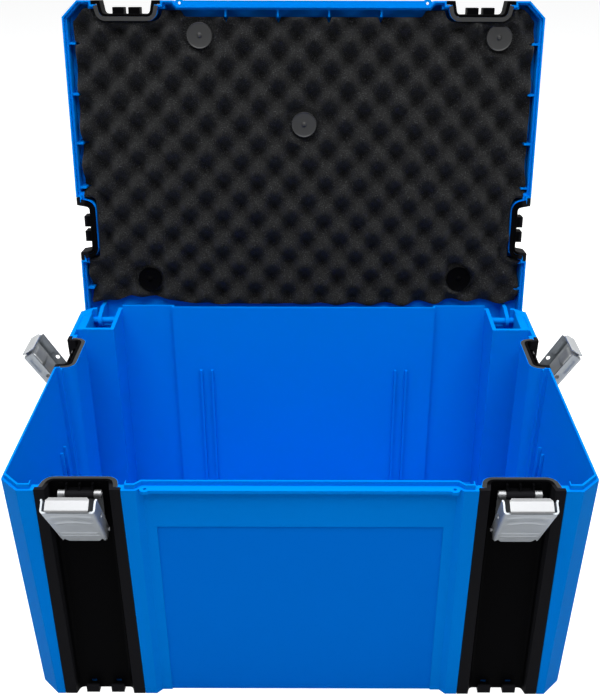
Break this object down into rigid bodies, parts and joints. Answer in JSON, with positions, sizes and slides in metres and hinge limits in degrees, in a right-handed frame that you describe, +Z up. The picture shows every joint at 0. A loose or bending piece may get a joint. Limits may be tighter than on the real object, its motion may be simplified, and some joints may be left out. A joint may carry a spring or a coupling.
{
  "type": "stackable tool case",
  "caption": "Blue moulded stacking tool case with its hinged lid open, foam-lined lid, black latch rails and steel draw latches on the front and sides.",
  "frame": {"origin": "middle of the case's underside", "axes": "+X to the right seen from the front, +Y to the back where the lid is hinged, +Z up"},
  "size_m": [0.4494, 0.3671, 0.4459],
  "materials": {
    "blue": "satin",
    "black": "satin",
    "steel": "zinc plated",
    "foam": "open-cell foam"
  },
  "bodies": {
    "case": {"tub": "blue", "hinge_pin_left": "blue", "hinge_pin_right": "blue", "rail_front_left": "black", "latch_pin_front_left": "steel", "rail_front_right": "black", "latch_pin_front_right": "steel", "rail_left": "black", "latch_pin_left": "steel", "rail_right": "black", "latch_pin_right": "steel"},
    "lid": {"lid": "blue", "foam_liner": "foam", "handle_pin_left": "steel", "handle_pin_right": "steel", "foam_button_1": "black", "foam_button_2": "black", "foam_button_3": "black", "foam_button_4": "black", "foam_button_5": "black", "lid_connector_front_left": "black", "lid_connector_front_right": "black", "lid_connector_left": "black", "lid_connector_right": "black"},
    "handle": {"carry_handle": "black"},
    "link_front_left": {"latch_link_front_left": "steel"},
    "lever_front_left": {"latch_lever_front_left": "steel", "latch_hook_front_left": "steel", "lever_pin_front_left": "steel"},
    "link_front_right": {"latch_link_front_right": "steel"},
    "lever_front_right": {"latch_lever_front_right": "steel", "latch_hook_front_right": "steel", "lever_pin_front_right": "steel"},
    "link_left": {"latch_link_left": "steel"},
    "lever_left": {"latch_lever_left": "steel", "latch_hook_left": "steel", "lever_pin_left": "steel"},
    "link_right": {"latch_link_right": "steel"},
    "lever_right": {"latch_lever_right": "steel", "latch_hook_right": "steel", "lever_pin_right": "steel"}
  },
  "joints": [
    {"name": "lid_hinge", "type": "hinge", "parent": "case", "child": "lid", "pos_m": [0, 0.1315, 0.178], "axis": [1, 0, 0], "range_deg": [0, 98]},
    {"name": "link_swing_front_left", "type": "hinge", "parent": "case", "child": "link_front_left", "pos_m": [-0.1452, -0.1318, 0.18], "axis": [-1, 0, 0], "range_deg": [0, 40]},
    {"name": "lever_turn_front_left", "type": "hinge", "parent": "link_front_left", "child": "lever_front_left", "pos_m": [-0.1452, -0.1314, 0.151], "axis": [1, 0, 0], "range_deg": [-33.5, 0]},
    {"name": "link_swing_front_right", "type": "hinge", "parent": "case", "child": "link_front_right", "pos_m": [0.1452, -0.1318, 0.18], "axis": [-1, 0, 0], "range_deg": [0, 40]},
    {"name": "lever_turn_front_right", "type": "hinge", "parent": "link_front_right", "child": "lever_front_right", "pos_m": [0.1452, -0.1314, 0.151], "axis": [1, 0, 0], "range_deg": [-33.5, 0]},
    {"name": "link_swing_left", "type": "hinge", "parent": "case", "child": "link_left", "pos_m": [-0.1908, 0.0509, 0.18], "axis": [0, 1, 0], "range_deg": [0, 40]},
    {"name": "lever_turn_left", "type": "hinge", "parent": "link_left", "child": "lever_left", "pos_m": [-0.1904, 0.0509, 0.151], "axis": [0, -1, 0], "range_deg": [-32, 0]},
    {"name": "link_swing_right", "type": "hinge", "parent": "case", "child": "link_right", "pos_m": [0.1908, 0.0509, 0.18], "axis": [0, -1, 0], "range_deg": [0, 40]},
    {"name": "lever_turn_right", "type": "hinge", "parent": "link_right", "child": "lever_right", "pos_m": [0.1904, 0.0509, 0.151], "axis": [0, 1, 0], "range_deg": [-32, 0]},
    {"name": "handle_fold", "type": "hinge", "parent": "lid", "child": "handle", "pos_m": [0, 0.18675, 0.35554], "axis": [1, 0, 0], "range_deg": [0, 100]}
  ]
}
